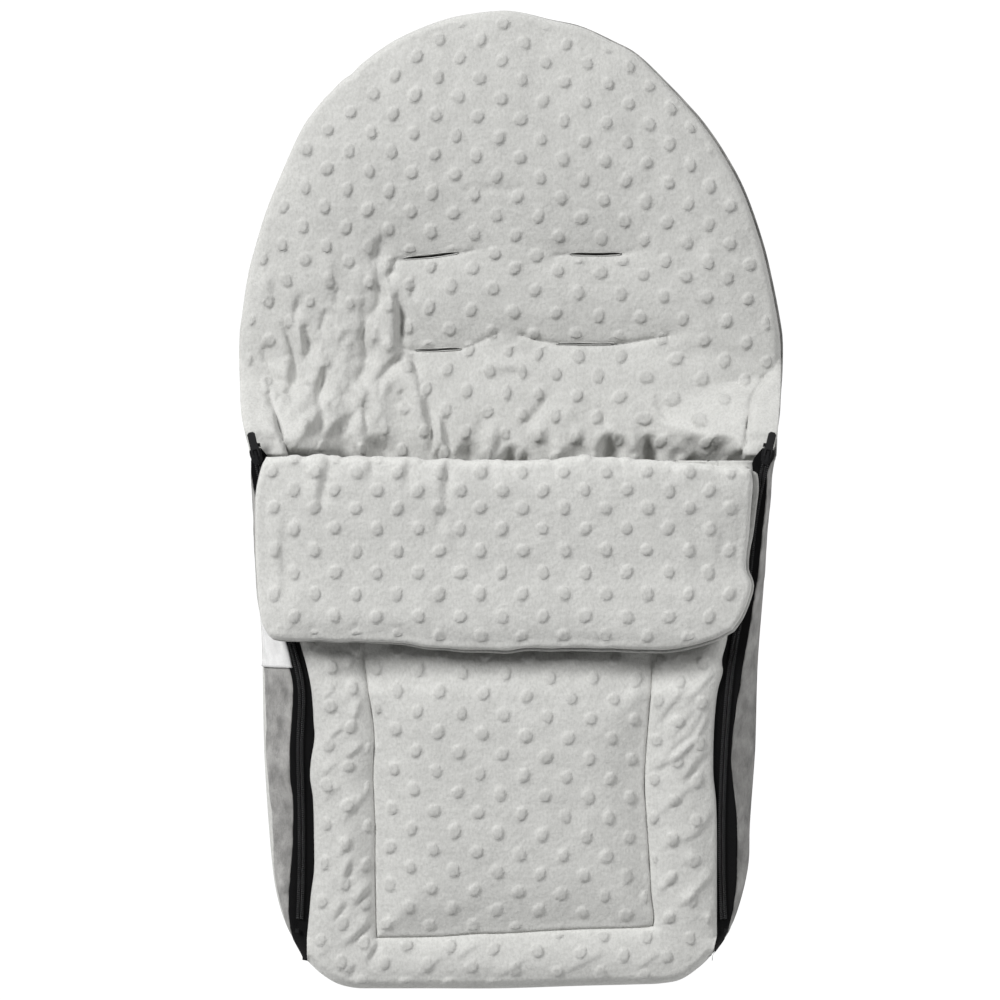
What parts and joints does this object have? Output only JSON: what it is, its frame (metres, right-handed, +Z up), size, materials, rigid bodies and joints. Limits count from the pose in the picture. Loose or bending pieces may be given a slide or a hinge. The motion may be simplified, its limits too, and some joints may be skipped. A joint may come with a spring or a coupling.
{
  "type": "car seat footmuff",
  "caption": "Padded car seat footmuff with a round hood end, harness slots, a zip-off front apron and a fold-down fleece cuff.",
  "frame": {"origin": "on the floor, below the middle of the footmuff's length and width, with the footmuff on its back", "axes": "+X to the right as seen from above with the hood at the far end, +Y to the hood end, +Z up"},
  "size_m": [0.4458, 0.8, 0.0951],
  "materials": {
    "dimple_fleece": "matte",
    "plain_fleece": "matte",
    "wadding": "matte",
    "binding": "matte",
    "satin": "satin",
    "zip_tape": "matte",
    "coil": "satin",
    "enamelled_metal": "satin",
    "tab_rubber": "matte"
  },
  "bodies": {
    "back": {"back_lining": "dimple_fleece", "back_padding": "wadding", "back_shell": "plain_fleece", "blank_label": "satin", "buckle_slot_binding": "binding", "lower_slot_binding_left": "binding", "lower_slot_binding_right": "binding", "side_wall_lining_left": "dimple_fleece", "side_wall_lining_right": "dimple_fleece", "side_wall_padding_left": "wadding", "side_wall_padding_right": "wadding", "side_wall_shell_left": "plain_fleece", "side_wall_shell_right": "plain_fleece", "upper_slot_binding_left": "binding", "upper_slot_binding_right": "binding", "zip_bottom_stop_left": "enamelled_metal", "zip_bottom_stop_right": "enamelled_metal", "zip_wall_coil_left": "coil", "zip_wall_coil_right": "coil", "zip_wall_tape_left": "zip_tape", "zip_wall_tape_right": "zip_tape", "zip_wall_top_stop_left": "enamelled_metal", "zip_wall_top_stop_right": "enamelled_metal"},
    "apron": {"apron_border": "dimple_fleece", "apron_centre_panel": "dimple_fleece", "apron_lining": "dimple_fleece", "apron_padding": "wadding", "zip_apron_coil_left": "coil", "zip_apron_coil_right": "coil", "zip_apron_tape_left": "zip_tape", "zip_apron_tape_right": "zip_tape", "zip_apron_top_stop_left": "enamelled_metal", "zip_apron_top_stop_right": "enamelled_metal"},
    "cuff": {"cuff_lining": "dimple_fleece", "cuff_outer": "plain_fleece", "cuff_padding": "wadding"},
    "slider_left": {"zip_slider_left": "enamelled_metal"},
    "slider_right": {"zip_slider_right": "enamelled_metal"},
    "pull_left": {"zip_pull_left": "tab_rubber"},
    "pull_right": {"zip_pull_right": "tab_rubber"}
  },
  "joints": [
    {"name": "apron_open", "type": "hinge", "parent": "back", "child": "apron", "pos_m": [0, -0.388, 0.0168], "axis": [1, 0, 0], "range_deg": [0, 150]},
    {"name": "cuff_fold", "type": "hinge", "parent": "apron", "child": "cuff", "pos_m": [0, 0.03492, 0.08085], "axis": [-1, 0, 0], "range_deg": [0, 180]},
    {"name": "slider_left_run", "type": "hinge", "parent": "back", "child": "slider_left", "pos_m": [-1.56162, -0.27002, 0.03233], "axis": [0, 0.1305, -0.9914], "range_deg": [0, 15.88]},
    {"name": "slider_right_run", "type": "hinge", "parent": "back", "child": "slider_right", "pos_m": [1.56162, -0.27002, 0.03233], "axis": [0, -0.1305, 0.9914], "range_deg": [0, 15.88]},
    {"name": "pull_left_flip", "type": "hinge", "parent": "slider_left", "child": "pull_left", "pos_m": [-0.2062, 0.03532, 0.0778], "axis": [0.975, 0.2201, 0.029], "range_deg": [0, 180]},
    {"name": "pull_right_flip", "type": "hinge", "parent": "slider_right", "child": "pull_right", "pos_m": [0.2062, 0.03532, 0.0778], "axis": [0.975, -0.2201, -0.029], "range_deg": [0, 180]}
  ],
  "couplings": [
    {"joint": "slider_left_run", "follows": "apron_open", "ratio": 0.1058},
    {"joint": "slider_right_run", "follows": "apron_open", "ratio": 0.1058}
  ]
}
